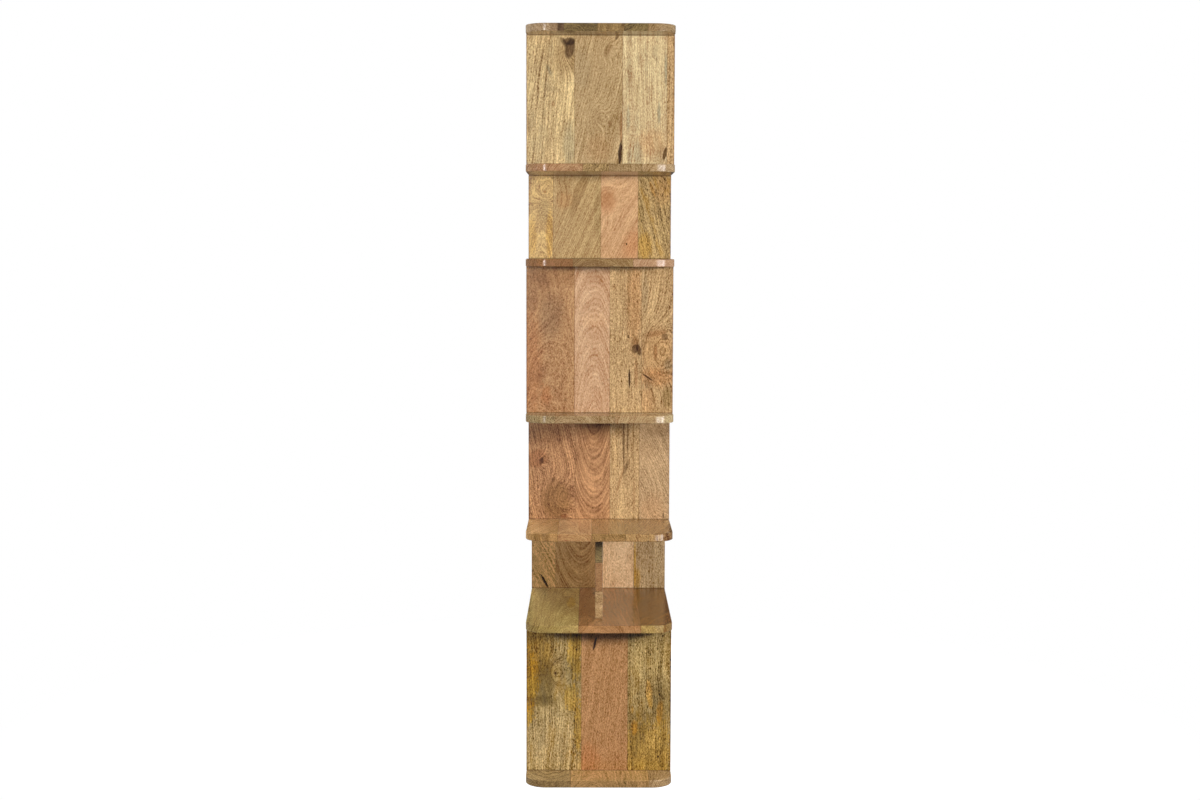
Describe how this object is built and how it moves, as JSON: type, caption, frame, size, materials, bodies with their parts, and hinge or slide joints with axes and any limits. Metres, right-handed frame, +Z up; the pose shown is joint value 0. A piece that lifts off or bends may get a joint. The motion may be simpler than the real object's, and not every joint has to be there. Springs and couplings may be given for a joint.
{
  "type": "bookcase",
  "caption": "Open solid-wood bookcase: round-cornered shelves on upright panels that step in and out from bay to bay, with a low bay divided into pigeonholes.",
  "frame": {"origin": "middle of the base board's underside, on the floor", "axes": "+Z up, +Y along the shelves away from the pictured end, +X across the shelves to the right seen from that end"},
  "size_m": [0.35, 1, 1.8],
  "materials": {
    "shelf_wood": "mango wood of edge-glued staves, satin clear lacquer",
    "upright_wood": "mango wood of edge-glued staves, satin clear lacquer",
    "tongue_plywood": "raw birch plywood"
  },
  "bodies": {
    "root": {"base_board": "shelf_wood", "shelf_1": "shelf_wood", "shelf_2": "shelf_wood", "shelf_3": "shelf_wood", "shelf_4": "shelf_wood", "shelf_5": "shelf_wood", "top_board": "shelf_wood", "bay_1_front_panel": "upright_wood", "bay_1_rear_panel": "upright_wood", "bay_3_front_panel": "upright_wood", "bay_3_rear_panel": "upright_wood", "bay_4_front_panel": "upright_wood", "bay_4_rear_panel": "upright_wood", "bay_5_front_panel": "upright_wood", "bay_5_rear_panel": "upright_wood", "bay_6_front_panel": "upright_wood", "bay_6_rear_panel": "upright_wood", "bay_2_cross_panel": "upright_wood", "bay_2_front_divider": "upright_wood", "bay_2_rear_divider": "upright_wood", "bay_1_tongues": "tongue_plywood", "bay_3_tongues": "tongue_plywood", "bay_4_tongues": "tongue_plywood", "bay_5_tongues": "tongue_plywood", "bay_6_tongues": "tongue_plywood", "cross_panel_tongues": "tongue_plywood", "divider_tongues": "tongue_plywood", "divider_end_tongues": "tongue_plywood"}
  },
  "joints": []
}
